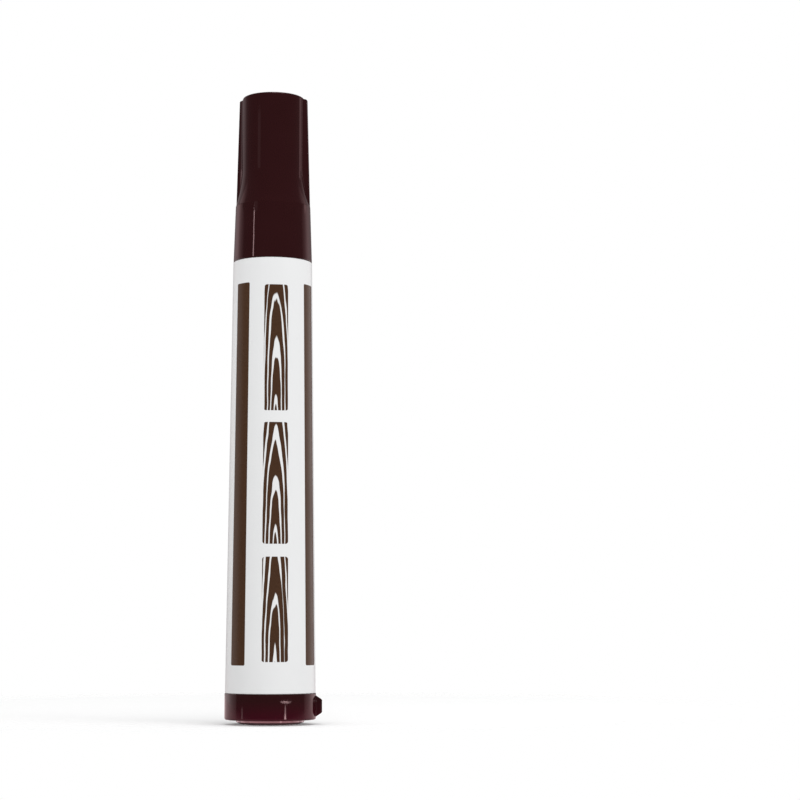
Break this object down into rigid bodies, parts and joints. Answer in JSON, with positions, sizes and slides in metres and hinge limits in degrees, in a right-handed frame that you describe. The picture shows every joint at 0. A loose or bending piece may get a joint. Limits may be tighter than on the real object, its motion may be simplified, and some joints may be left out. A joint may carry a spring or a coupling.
{
  "type": "furniture touch-up paint pen",
  "caption": "Capped valve-action paint pen for touching up furniture: tapered labelled barrel, finned pull-off cap, sprung felt nib, loose mixing balls and a tail plug with an anti-roll lug.",
  "frame": {"origin": "centre of the flat foot on the tail plug, where the pen stands", "axes": "+Z along the pen from the tail to the cap, +X towards the anti-roll lug, -Y towards the front of the label"},
  "size_m": [0.0209, 0.0196, 0.137],
  "materials": {
    "mahogany_plastic": "glossy dark red-brown moulded plastic",
    "white_plastic": "satin white moulded plastic",
    "natural_plastic": "natural uncoloured moulded plastic",
    "label_film": "white printed film with a low sheen",
    "nib_felt": "pressed felt stained by the paint",
    "seal_rubber": "black rubber",
    "spring_steel": "drawn spring wire",
    "ball_steel": "polished ball"
  },
  "bodies": {
    "pen_body": {"tail_plug": "mahogany_plastic", "barrel": "white_plastic", "label_wrap": "label_film", "front_section": "white_plastic", "valve_seat": "natural_plastic", "valve_cage": "natural_plastic", "valve_spring": "spring_steel"},
    "cap": {"cap_shell": "mahogany_plastic", "cap_liner": "natural_plastic"},
    "nib_body": {"nib": "nib_felt"},
    "valve": {"valve_stem": "natural_plastic", "valve_washer": "seal_rubber"},
    "ball_left": {"mixing_ball_left": "ball_steel"},
    "ball_right": {"mixing_ball_right": "ball_steel"}
  },
  "joints": [
    {"name": "cap_pull", "type": "slide", "parent": "pen_body", "child": "cap", "axis": [0, 0, 1], "range_m": [0, 0.045]},
    {"name": "nib_press", "type": "slide", "parent": "pen_body", "child": "nib_body", "axis": [0, 0, -1], "range_m": [0, 0.0015], "stiffness_N_per_m": 500, "springref_m": -0.003},
    {"name": "valve_open", "type": "slide", "parent": "pen_body", "child": "valve", "axis": [0, 0, -1], "range_m": [0, 0.0015], "deforming": ["valve_spring"]},
    {"name": "ball_left_run", "type": "slide", "parent": "pen_body", "child": "ball_left", "axis": [0, 0, 1], "range_m": [0, 0.0772]},
    {"name": "ball_right_run", "type": "slide", "parent": "pen_body", "child": "ball_right", "axis": [0, 0, 1], "range_m": [0, 0.0772]}
  ],
  "couplings": [
    {"joint": "valve_open", "follows": "nib_press", "ratio": 1}
  ]
}
